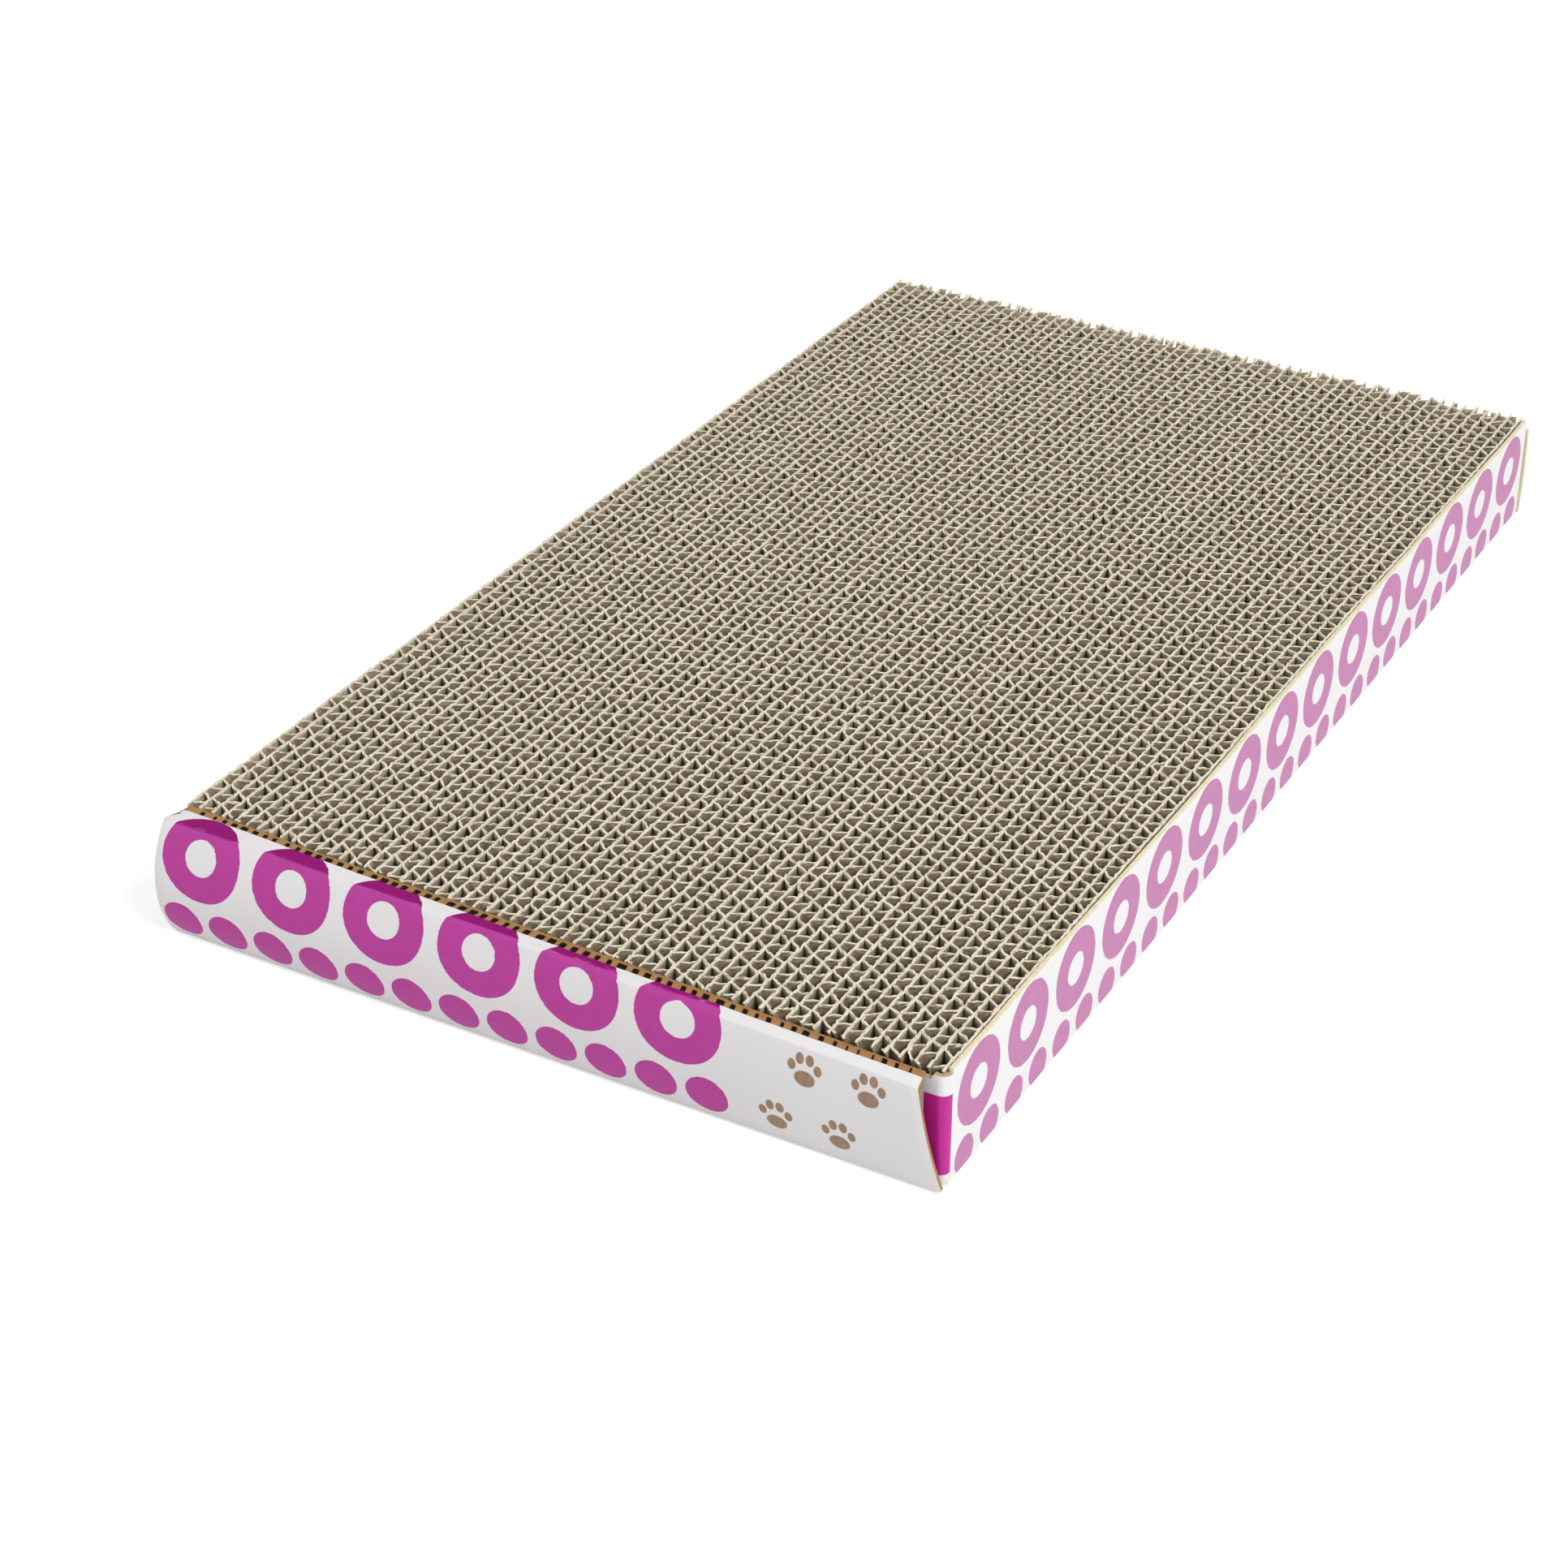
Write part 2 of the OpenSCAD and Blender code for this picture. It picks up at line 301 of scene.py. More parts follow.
def paw_prints(ink, along, up):
    """Mask of paw prints, two to a row in two staggered rows of square cells."""
    row = ink.calc("FLOOR", ink.calc("DIVIDE", up, PAW_CELL))
    half = PAW_CELL / 2
    along = ink.calc("SUBTRACT", along, ink.calc("MULTIPLY", row, half))
    rows, columns = (ink.between(place, 0.0, 2 * PAW_CELL, 0.1) for place in (up, along))
    here = ink.calc("MULTIPLY", rows, columns)
    side, level = (
        ink.calc("WRAP", ink.calc("SUBTRACT", place, half), half, -half) for place in (along, up))
    total = 0.0
    for x, y, wide, high in PAW_PRINT:
        dx = ink.calc("DIVIDE", ink.calc("SUBTRACT", side, x), wide)
        dy = ink.calc("DIVIDE", ink.calc("SUBTRACT", level, y), high)
        mask = ink.step(ink.length(dx, dy), 1.07, 0.93)
        total = ink.calc("MAXIMUM", total, mask)
    return ink.calc("MULTIPLY", total, here)


def board_grain(board, where, strength):
    """Fine bump of coated board, with the faint ripple of the flutes beneath."""
    speck = board.bump(board.noise(where, 2600, 3.0), 0.04 * MM, strength)
    return board.bump(board.noise(where, 60, 2.0), 0.5 * MM, 0.35 * strength, speck)


def coated(board, where, tone, scale=45, amount=0.012):
    """Coated facing with faint clouds."""
    return board.shade(tone, board.noise(where, scale), amount)


def printed(board, where, tone):
    """Ink with a fine mottle."""
    return board.shade(tone, board.noise(where, 260, 3.0), 0.05)


def print_wobble(board, where):
    """Unevenness of a print's outline, in millimetres."""
    return board.calc("MULTIPLY_ADD", board.noise(where, 700), 0.5, -0.25)


def kraft_colour(board, where, tone):
    """Brown board with fibres and flecks."""
    fibres = board.noise(where, 900, 4.0, 0.6, (1.0, 0.25, 1.0))
    clouds = board.noise(where, 70, 3.0)
    colour = board.shade(tone, fibres, 0.13)
    return board.shade(colour, clouds, 0.07)


def make_cut_board(colours):
    """Bare back of the front flap, with dark painted shade of ragged outline inside the open
    flutes.
    """
    board = Shader("bare_flap")
    where, _ = board.places()
    inside = board.print_places()[1]
    ragged = board.calc(
        "MULTIPLY_ADD", board.noise(where, 900, 3.0), 0.4 * OPEN_MARK, -0.2 * OPEN_MARK)
    open_flute = board.step(board.calc("ADD", inside, ragged), 0.3 * OPEN_MARK, 0.6 * OPEN_MARK)
    # Painted shade: the open flutes' inside gets the near-black hollow colour instead of kraft.
    dark = board.mix(open_flute, kraft_colour(board, where, colours.kraft), colours.hollow)
    normal = board_grain(board, where, 0.6)
    return board.finish(dark, 0.85, normal, 0.15)


def make_wall_board(colours, sizes):
    """Side wall: printed outside, bare inside, pale crushed rim."""
    board = Shader("printed_wall")
    where, (x, y, z) = board.places()
    wobble = print_wobble(board, where)
    mask = rings_and_dots(
        board, board.calc("ADD", y, wobble), board.calc("ADD", z, wobble), WALL_PRINT)
    # Painted sheen: the side wall's ink is a lighter copy of the front ink.
    ink = printed(board, where, colours.ink_side_painted_sheen)
    face = board.mix(mask, coated(board, where, colours.white), ink)
    inner = (sizes.half_width - sizes.board) / MM
    deep = board.step(board.calc("ABSOLUTE", x), inner + 0.7, inner + 0.5)
    face = board.mix(deep, face, kraft_colour(board, where, colours.kraft))
    drop = (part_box("right_wall")[1].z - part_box("left_wall")[1].z) / MM
    level = board.calc("MULTIPLY_ADD", board.step(x, 0.01, -0.01), drop, z)
    top = sizes.height / MM
    rim = board.step(level, top - 0.75, top - 0.45)
    speck = board.shade(colours.rim, board.noise(where, 800, 3.0), 0.12)
    face = board.mix(rim, face, speck)
    ripple = board.add("TexWave", {"Vector": where, "Scale": 18.0, "Distortion": 1.5},
                       bands_direction="Y").outputs[1]
    normal = board.bump(ripple, 0.05 * MM, 0.25, board_grain(board, where, 0.35))
    return board.finish(face, 0.42, normal, 0.4)


def make_end_board(colours):
    """Outer face of the front flap: rings and dots, and paw prints on the bare right end."""
    board = Shader("printed_flap")
    where, _ = board.places()
    across, up = board.print_places()
    wobble = print_wobble(board, where)
    along = board.calc("ADD", board.calc("SUBTRACT", across, FIRST_RING), wobble)
    mask = rings_and_dots(board, along, board.calc("ADD", up, wobble), FRONT_PRINT)
    mask = board.calc("MULTIPLY", mask, board.step(across, PRINT_END + 0.15, PRINT_END - 0.15))
    # Painted shade: above the crease the band takes the darker copy of the ink.
    band = board.step(up, CREASE_AT - 0.4, CREASE_AT + 0.4)
    ink = printed(board, where, board.mix(band, colours.ink_front, colours.ink_band_painted_shade))
    # Painted shade: the front flap's face takes the darker copy of the white.
    face = board.mix(mask, coated(board, where, colours.front_white_painted_shade), ink)
    paws = paw_prints(
        board, board.calc("SUBTRACT", across, PAWS_FROM), board.calc("SUBTRACT", up, 0.2))
    fur = board.shade(colours.paw, board.noise(where, 900, 4.0, 0.6, (1.0, 1.0, 0.3)), 0.2)
    face = board.mix(paws, face, fur)
    crease = board.between(up, CREASE_AT - 0.1, CREASE_AT + 0.7, 0.5)
    rubbed = board.step(board.noise(where, 520, 4.0, 0.65, (0.25, 1.0, 1.0)), 0.55, 0.68)
    rubbed = board.calc("MULTIPLY", crease, rubbed)
    face = board.mix(board.calc("MULTIPLY", rubbed, 0.5), face, colours.worn)
    normal = board_grain(board, where, 0.35)
    return board.finish(face, 0.45, normal, 0.12)


def make_back_board(colours, sizes):
    """Back flap: printed where it faces backwards, bare elsewhere, with pale cut ends."""
    board = Shader("printed_back_flap")
    where, (x, _, z) = board.places()
    mask = rings_and_dots(board, x, z, BACK_PRINT)
    ink = printed(board, where, colours.ink_front)
    face = board.mix(mask, coated(board, where, colours.white), ink)
    bare = board.step(board.facing()[1], 0.5, 0.3)
    face = board.mix(bare, face, kraft_colour(board, where, colours.kraft))
    end = sizes.half_width / MM - 3.0
    side = board.step(board.calc("ABSOLUTE", x), end - 0.2, end + 0.2)
    edge = board.calc("MULTIPLY", bare, side)
    face = board.mix(edge, face, board.shade(colours.rim, board.noise(where, 800), 0.1))
    return board.finish(face, 0.42, board_grain(board, where, 0.35), 0.4)


def make_tab_board(colours, sizes):
    """Corner tab: white outside with an upright stripe at the corner, bare inside."""
    board = Shader("tab_board")
    where, (x, y, z) = board.places()
    wide = board.calc("ABSOLUTE", x)
    far = board.calc("ABSOLUTE", y)
    stripe = board.between(z, STRIPE_LOW, STRIPE_HIGH, INK_BLUR)
    stripe = board.calc("MULTIPLY", stripe, board.step(wide, STRIPE_FROM - 0.1, STRIPE_FROM + 0.1))
    stripe = board.calc("MULTIPLY", stripe, board.step(y, 1.0, -1.0))
    face = board.mix(stripe, coated(board, where, colours.white, 60, 0.02),
                     printed(board, where, colours.ink_stripe))
    corner = 3.0
    past = [
        board.calc("MAXIMUM", board.calc("SUBTRACT", place, half / MM - corner), 0.0)
        for place, half in ((wide, sizes.half_width), (far, sizes.half_length))
    ]
    bare = board.step(board.length(*past), corner - 0.4, corner - 0.55)
    flat = board.calc("ABSOLUTE", board.facing()[2])
    bare = board.calc("MAXIMUM", bare, board.step(flat, 0.7, 0.8))
    brown = kraft_colour(board, where, colours.kraft)
    face = board.mix(bare, face, board.mix(0.35, brown, colours.rim))
    return board.finish(face, 0.45, board_grain(board, where, 0.4), 0.35)


def make_floor_board(colours):
    """Tray floor: coated white beneath, bare kraft on top and at its edges."""
    board = Shader("floor_board")
    where, (_, _, z) = board.places()
    under = board.step(z, 0.3, 0.1)
    white = coated(board, where, colours.white, amount=0.02)
    face = board.mix(under, kraft_colour(board, where, colours.kraft), white)
    return board.finish(face, 0.6, board_grain(board, where, 0.4), 0.3)


def make_pad_paper(colours, sizes):
    """Recycled paper: pale fuzzy cut edge, darker below by painted shade deep in the flutes, each
    sheet a little different.
    """
    paper = Shader("pad_paper")
    where, (_, _, z) = paper.places()
    tone = paper.attribute("tone")
    top = sizes.height / MM
    rough = paper.calc(
        "MULTIPLY", paper.step(paper.facing()[0], 0.0, 0.2), paper.attribute("fluted"))
    level = paper.calc("SUBTRACT", z, paper.noise(where, 1500, 3.0, 0.6))
    level = paper.calc("MULTIPLY_ADD", rough, -0.55, level)
    cut = paper.step(level, top - 1.3, top - 0.85)
    body = paper.mix(rough, colours.paper, colours.paper_dark)
    # Painted shade: deeper in the flutes the paper darkens towards the shadow colour, less on the
    # rough side.
    deep = paper.attribute("inside")
    deep = paper.calc("MULTIPLY", deep, paper.step(z, top - 0.4, top - 4.8))
    deep = paper.calc("MULTIPLY", deep, paper.calc("MULTIPLY_ADD", rough, -0.7, 1.0))
    body = paper.mix(deep, body, colours.shadow)
    body = paper.shade(body, paper.noise(where, 420, 4.0, 0.6, (1.0, 1.0, 0.2)), 0.1)
    body = paper.shade(body, tone, 0.1)
    pale = paper.shade(colours.edge, paper.noise(where, 620, 3.0, 0.6), 0.09)
    pale = paper.shade(pale, tone, 0.03)
    normal = paper.bump(paper.noise(where, 2400, 4.0, 0.7), 0.15 * MM, 0.6)
    return paper.finish(paper.mix(cut, body, pale), 0.92, normal, 0.1)


# Modelling


def clear_selection():
    """Nothing stays selected, so that the next operator acts on its own object only."""
    if bpy.context.mode != "OBJECT":
        bpy.ops.object.mode_set(mode="OBJECT")
    bpy.ops.object.select_all(action="DESELECT")


def take(piece):
    """Makes one piece the only selected one, and the active one."""
    clear_selection()
    piece.select_set(True)
    bpy.context.view_layer.objects.active = piece


def sheet(name, columns, rows):
    """A flat grid of columns by rows faces, ready to be shaped."""
    clear_selection()
    bpy.ops.mesh.primitive_grid_add(x_subdivisions=columns, y_subdivisions=rows, size=1)
    piece = bpy.context.active_object
    piece.name = piece.data.name = name
    return piece


def shape(piece, points):
    """Moves a grid's points to an array of rows by columns by three."""
    piece.data.vertices.foreach_set("co", np.ascontiguousarray(points, np.float32).ravel())
    piece.data.update()


def apply_modifiers(piece):
    """Applies all modifiers of one piece in order."""
    take(piece)
    for modifier in list(piece.modifiers):
        bpy.ops.object.modifier_apply(modifier=modifier.name)


def join(name, parts):
    """Joins parts into one piece."""
    clear_selection()
    for part in parts:
        part.select_set(True)
    bpy.context.view_layer.objects.active = parts[0]
    bpy.ops.object.join()
    parts[0].name = parts[0].data.name = name
    return parts[0]


def swept_board(name, rings, printed_points=None, maps=None):
    """A closed board from rings of points, stations by points by three.

    The first printed_points of a ring lie on the printed face and get material 0, the rest get
    material 1. maps holds the print's own coordinates, stations by points by two.
    """
    stations, count = rings.shape[:2]
    closed = np.concatenate([rings, rings[:, :1]], axis=1)
    piece = sheet(name, count, stations - 1)
    shape(piece, closed)
    corners = np.zeros(len(piece.data.loops), np.int32)
    piece.data.loops.foreach_get("vertex_index", corners)
    if printed_points is not None:
        ring_place = (corners % (count + 1)).reshape(-1, 4).min(axis=1)
        bare = (ring_place >= printed_points - 1).astype(np.int32)
        piece.data.polygons.foreach_set("material_index", bare)
    while piece.data.uv_layers:
        piece.data.uv_layers.remove(piece.data.uv_layers[0])
    if maps is not None:
        layer = piece.data.uv_layers.new(name="print")
        flat = np.concatenate([maps, maps[:, :1]], axis=1).reshape(-1, 2)
        layer.data.foreach_set("uv", flat[corners].astype(np.float32).ravel())
    take(piece)
    bpy.ops.object.mode_set(mode="EDIT")
    bpy.ops.mesh.select_all(action="SELECT")
    bpy.ops.mesh.remove_doubles(threshold=0.01 * MM)
    bpy.ops.mesh.select_all(action="DESELECT")
    bpy.ops.mesh.select_non_manifold()
    bpy.ops.mesh.fill_holes(sides=0)
    bpy.ops.mesh.select_all(action="SELECT")
    bpy.ops.mesh.normals_make_consistent(inside=False)
    take(piece)
    bpy.ops.object.shade_smooth_by_angle(angle=math.radians(35))
    return piece


def settle(piece, body, slot, *nodes):
    """A finished piece rides on its body and stands for its CAD nodes."""
    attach(piece, body)
    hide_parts(*nodes)


def dress(node, material):
    """Gives a CAD node that is shown as it is its material."""
    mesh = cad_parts[node].data
    mesh.materials.clear()
    mesh.materials.append(material)


def waves(value, seed, terms, longest):
    """Smooth, repeatable unevenness of about -1 to 1, from a number of waves over a length."""
    draw = np.random.RandomState(seed)
    total = 0 * value
    for k in range(terms):
        length = longest / (k + 1)
        total += draw.uniform(0.4, 1.0) * np.sin(
            2 * math.pi * value / length + draw.uniform(0, 6.28)) / (k + 1)
    return total / 1.6


def ramp(value, low, high):
    """0 below low, 1 above high and a straight ramp between."""
    return np.clip((value - low) / (high - low), 0, 1)


def strays(draw, spread, limit, count):
    """Random deviations with a standard deviation, cut off at a limit."""
    return draw.normal(0, spread, count).clip(-limit, limit)


# Pad

# One flute: places of 0 to 1 along its pitch, and lifts of 0 to 1 from its own liner to the next.
PLACES = np.array(
    [0.0, 0.11, 0.15, 0.21, 0.28, 0.35, 0.41, 0.51, 0.61, 0.65, 0.70, 0.75, 0.80, 0.84, 0.88])
LIFTS = np.array(
    [0.0, 0.0, 0.07, 0.31, 0.60, 0.88, 1.0, 1.0, 1.0, 0.92, 0.70, 0.43, 0.17, 0.04, 0.0])
# Rows of points of a sheet, from its foot to its cut edge: the height, how far the points stray
# in millimetres, and how much of the lean over a lower board beside the pad they take.
ROW_HEIGHTS = np.array([0.0, 0.6, 0.93, 0.965, 0.985, 1.0])
ROW_STRAYS = np.array([0.0, 0.02, 0.05, 0.08, 0.12, 0.2])
ROW_LEANS = np.array([0.0, 0.0, 0.0, 0.5, 0.85, 1.0])
FUZZ_FROM = 2  # the sheet grows thicker above this row
OVERHANG_END, OVERHANG_SIDE = 1.4 * MM, 0.8 * MM  # how far the pad's top leans over the boards
CRUSHED = 0.06  # share of the flutes that do not reach the next liner
PULL = (0.04, 0.1)  # spread and limit of where a flute begins, in pitches
WIDEN = (0.03, 0.06)  # spread and limit of how far a crest's sides move apart, in pitches
TILT = 0.02  # spread of how far a crest leans along the strip, in pitches
STRIP_GAP = 0.05 * MM  # between neighbouring strips, where the glue is
STRIP_SWAY = 0.22 * MM  # how far a strip's sheets wave from side to side


def band_edge(share):
    """How far the band's slanting edge lies behind the tray's front, in millimetres."""
    return 6.0 - 13.0 * share + 4.1 * share ** 2


def strip_phase(j):
    """Share of a pitch by which strip j's flutes are shifted back from the tray's front.

    They step forward a little from strip to strip, but for a stretch in the middle.
    """
    turns = 0.1 * math.sin(math.radians(j * 97)) - 0.2 * (min(j, 17) + max(j - 36, 0))
    return turns - math.floor(turns)


def paper_sheet(name, across, along, sizes, draw, fluted, outer=False):
    """One upright sheet through points in plan. Its top edge is uneven, fuzzy and thicker.

    fluted is 1 for a medium and 0 for a liner. outer marks a liner at the pad's outer side, which
    gets no painted shade of the flutes.
    """
    low, high = sizes.board, sizes.height
    rows, count = len(ROW_HEIGHTS), len(across)
    piece = sheet(name, count - 1, rows - 1)
    points = np.zeros((rows, count, 3))
    points[:, :, 0] = across
    points[:, :, 1] = along
    points[:, :, 2] = (low + (high - low) * ROW_HEIGHTS)[:, None]
    loose = ROW_STRAYS[:, None] * MM
    points[:, :, 0] += loose * strays(draw, 1, 2, (rows, count))
    points[:, :, 1] += loose * strays(draw, 1, 2, (rows, count))
    points[-1, :, 2] += 0.12 * MM * strays(draw, 1, 2.5, count)
    over_back = ramp(along - sizes.half_length, -14 * MM, -4 * MM)
    over_front = ramp(-along - sizes.half_length, -6 * MM, -3 * MM)
    over_front = over_front * ramp(across, 50 * MM, 114 * MM)
    over_left = ramp(-across - sizes.half_width, -10 * MM, -4 * MM)
    lean = ROW_LEANS[:, None]
    points[:, :, 1] += OVERHANG_END * lean * (over_back - over_front)
    points[:, :, 0] -= OVERHANG_SIDE * lean * over_left
    shape(piece, points)
    group = piece.vertex_groups.new(name="fuzz")
    weak = sizes.paper / sizes.cut_edge
    for row in range(rows):
        for column in range(count):
            weight = weak
            if row > FUZZ_FROM:
                share = (row - FUZZ_FROM) / (rows - 1 - FUZZ_FROM)
                weight = min(1.0, max(weak, weak + share * draw.normal(0.42, 0.2)))
            group.add([row * count + column], weight, "REPLACE")
    solid = piece.modifiers.new("thickness", "SOLIDIFY")
    solid.thickness = sizes.cut_edge
    solid.offset = 0
    solid.vertex_group = "fuzz"
    apply_modifiers(piece)
    spots = np.zeros(3 * len(piece.data.vertices), np.float32)
    piece.data.vertices.foreach_get("co", spots)
    place = spots[1::3]
    # Mask of the painted shade deep in the flutes: it fades out over 5 mm at the sheet's ends and
    # is zero on an outer liner.
    inside = np.clip(np.minimum(place - place.min(), place.max() - place) / (5 * MM), 0, 1)
    tone = draw.uniform(0.25, 0.75)
    for key, value in (("tone", tone), ("fluted", fluted), ("inside", inside * (not outer))):
        layer = piece.data.attributes.new(key, "FLOAT", "POINT")
        layer.data.foreach_set("value", np.full(len(place), value, np.float32))
    return piece


def flute_line(first, flutes, sizes, draw):
    """Plan of a strip's medium: places along the strip, and lifts of 0 to 1 off the liner."""
    pull = strays(draw, *PULL, flutes + 1)
    tilt = draw.normal(0, TILT)
    places, lifts = [], []
    for i in range(flutes):
        begin, stop = i + pull[i], i + 1 + pull[i + 1]
        top = draw.uniform(0.74, 0.94) if draw.uniform() < CRUSHED else 1.0
        widen = strays(draw, *WIDEN, 2)
        side = np.where(PLACES < 0.5, -widen[0], widen[1]) * np.sin(math.pi * PLACES) ** 2
        side = side + (tilt + draw.normal(0, TILT)) * LIFTS
        places.append(begin + (stop - begin) * (PLACES + side))
        lifts.append(LIFTS * top)
    return first + sizes.flute * np.concatenate(places), np.concatenate(lifts)


def paper_strip(j, sizes):
    """One strip of the pad: flat liner and fluted medium, where the CAD has its solid."""
    draw = np.random.RandomState(1000 + j)
    pitch = (PAD[1].x - PAD[0].x + STRIP_GAP) / sizes.strips
    right = PAD[0].x + (j + 1) * pitch
    share = (j + 0.5) / sizes.strips
    ragged = math.radians(j * 137)
    behind_band = max(3.2 + band_edge(share), 1.9)
    start = (behind_band + 0.25 * (1 + math.sin(ragged))) * MM - sizes.half_length
    from_tab = (0.4 + 0.5 * (1 + math.cos(ragged))) * MM
    end = sizes.half_length - sizes.board - from_tab
    first = (strip_phase(j) - 1.5) * sizes.flute - sizes.half_length
    flutes = int((end - first) / sizes.flute) + 2
    along, lift = flute_line(first, flutes, sizes, draw)
    keep = (along > start) & (along < end - draw.uniform(0, 0.5) * MM)
    along, lift = along[keep], lift[keep]
    rise = pitch - sizes.paper * (2 if j == 0 else 1)
    medium_x = right - sizes.paper - rise * lift + STRIP_SWAY * waves(along, j, 6, 0.16)
    liner_y = np.linspace(start, end, 1 + int((end - start) / (sizes.flute / 8)))
    liner_x = right - sizes.paper / 2 + STRIP_SWAY * waves(liner_y, j, 6, 0.16)
    sheets = [
        paper_sheet("liner", liner_x, liner_y, sizes, draw, 0.0, j == sizes.strips - 1),
        paper_sheet("medium", medium_x, along, sizes, draw, 1.0),
    ]
    if j == 0:
        liner_x += sizes.paper - pitch
        sheets.append(paper_sheet("outer_liner", liner_x, liner_y, sizes, draw, 0.0, True))
    return sheets


class SCRATCHER_OT_pad(bpy.types.Operator):
    """Build the pad: 59 strips of single-faced fluted paper on edge"""

    bl_idname = "scratcher.pad"
    bl_label = "Fluted paper pad"

    def execute(self, context):
        settings = context.scene.scratcher
        sizes = settings.sizes
        paper = make_pad_paper(settings.colours, sizes)
        for k, node in enumerate(BUNDLES):
            parts = []
            for j in range(sizes.strips):
                if j * len(BUNDLES) // sizes.strips == k:
                    parts += paper_strip(j, sizes)
            piece = join("fluted_strips_%02d" % (k + 1), parts)
            piece.data.materials.append(paper)
            settle(piece, "pad", "pad_paper", node)
        return {"FINISHED"}


# Tray


class SCRATCHER_OT_front_flap(bpy.types.Operator):
    """Build the front flap: bowed printed panel, crease, band and its slanting cut edge"""

    bl_idname = "scratcher.front_flap"
    bl_label = "Front flap"

    PRINTED = 24  # points of a section that lie on its printed face
    END = 0.009  # share of the width over which the flap's cut ends are crushed thinner
    HINGE = np.array([-0.8, 0.8])  # bottom crease, from the tray's front and bottom
    FACING = 0.3  # thickness of the board's facing, in millimetres
    # The band's cut edge: places past the edge and above the board's middle, in millimetres, but
    # for the heights in an open flute, which are shares of the way to its facings.
    OPEN_FLUTE = ((-2.6, 1), (-2.6, -1), (2.2, -1))
    CLOSED_FLUTE = ((0.3, 0.25), (1.2, 0.12), (2.2, 0.2))
    LOWER_FACING = ((2.75, 0.35), (3.2, 0.5), (3.35, 0.2))

    def execute(self, context):
        settings = context.scene.scratcher
        sizes = settings.sizes
        front = -sizes.half_length / MM
        ends = np.array([0.0, 0.002, 0.005])
        stations = np.concatenate([ends, np.linspace(self.END, 1 - self.END, 500), 1 - ends[::-1]])
        rings, maps = [], []
        for s in stations:
            ring, up = self.ring(s, sizes)
            ring = np.array(ring)
            across = self.across(s, ring, sizes.half_width / MM)
            rings.append(np.stack([across, front + ring[:, 0], ring[:, 1]], axis=1) * MM)
            maps.append(np.stack([across, np.array(up)], axis=1))
        piece = swept_board("front_flap_board", np.array(rings), self.PRINTED, np.array(maps))
        piece.data.materials.append(make_end_board(settings.colours))
        piece.data.materials.append(make_cut_board(settings.colours))
        for face in piece.data.polygons:
            if abs(face.normal.x) > 0.8:
                face.material_index = 1
        settle(piece, "flap", "printed_board", "front_flap")
        return {"FINISHED"}

    def bend(self, s):
        """Crease, band direction and band width at a share s of the width, in millimetres."""
        crease = np.array([0.4 - 9.0 * s + 3.2 * s * s, 37.4 - 2.4 * s ** 3])
        crease[0] += 0.2 * waves(s, 7, 4, 0.6)
        slope = math.radians(2 + 4 * s + 25 * s ** 6)
        inward = np.array([math.cos(slope), math.sin(slope)])
        width = (band_edge(s) + 0.15 * waves(s, 8, 6, 0.3) - crease[0]) / math.cos(slope)
        return crease, inward, np.array([-inward[1], inward[0]]), width

    def panel(self, s, crease):
        """The bowed panel below its crease, and its height along the bow.

        The panel is a function of a share of its height. It gives a point and an outward normal.
        """
        bow = 5.95 - 4.55 * s + 0.15 * waves(s, 9, 4, 0.4)
        chord = crease - self.HINGE
        length = float(np.hypot(*chord))
        up = chord / length
        out = np.array([-up[1], up[0]])
        radius = length ** 2 / (8 * bow) + bow / 2
        centre = (self.HINGE + crease) / 2 - out * (radius - bow)
        half = math.asin(length / 2 / radius)

        def at(t):
            turn = (2 * t - 1) * half
            normal = math.cos(turn) * out + math.sin(turn) * up
            return centre + radius * normal, normal

        return at, 2 * half * radius

    def is_open(self, s, sizes):
        """Whether one of the board's own flutes opens in the band's cut edge at a share s."""
        place = 2 * sizes.half_width * s / sizes.board_flute + 0.25 * waves(s, 21, 6, 0.12)
        wide = 0.26 + 0.13 * waves(s, 22, 6, 0.11) - 0.2 * s ** 5 - 0.1 * (1 - s) ** 9
        return abs(place % 1 - 0.5) < wide and 0.012 < s < 0.985

    def ring(self, s, sizes):
        """Section of the flap: points of y from the tray's front and z, and the print's height."""
        crushed = 0.38 * (1 - min(1, min(s, 1 - s) / self.END))
        half = sizes.board / MM / 2 * (1 - crushed)
        crease, inward, above, width = self.bend(s)
        at, tall = self.panel(s, crease)
        points, up = [], []
        for t in np.linspace(0, 1, 15):
            spot, normal = at(t)
            points.append(spot + normal * half)
            up.append(t * tall)
        last = at(1)[1]
        for t in (0.25, 0.5, 0.75):
            normal = last * (1 - t) + above * t
            points.append(crease + normal / np.hypot(*normal) * half)
            up.append(tall + t * half * 0.8)
        for x in np.linspace(0, width, 6):
            points.append(crease + inward * x + above * half)
            up.append(tall + half * 0.8 + x)
        assert len(points) == self.PRINTED
        inner = half - self.FACING
        open_flute = self.is_open(s, sizes)
        if open_flute:
            cut = [(0, inner), *((x, high * inner) for x, high in self.OPEN_FLUTE), (2.7, -0.1)]
        else:
            cut = [(0, inner), (0.1, inner - 0.1), *self.CLOSED_FLUTE]
        cut += [*self.LOWER_FACING, (2.2, 0.2 - half), (1.0, -half), (-0.4, -half)]
        curl = 0.7 * min(max((s - 0.2) / 0.35, 0), 1) * (1 - s ** 8)
        for k, (x, high) in enumerate(cut):
            high += curl * max(x - 1.9, 0) / 1.4
            x *= 0.86 - 0.26 * s ** 3
            points.append(crease + inward * max(width + x, 0.6) + above * high)
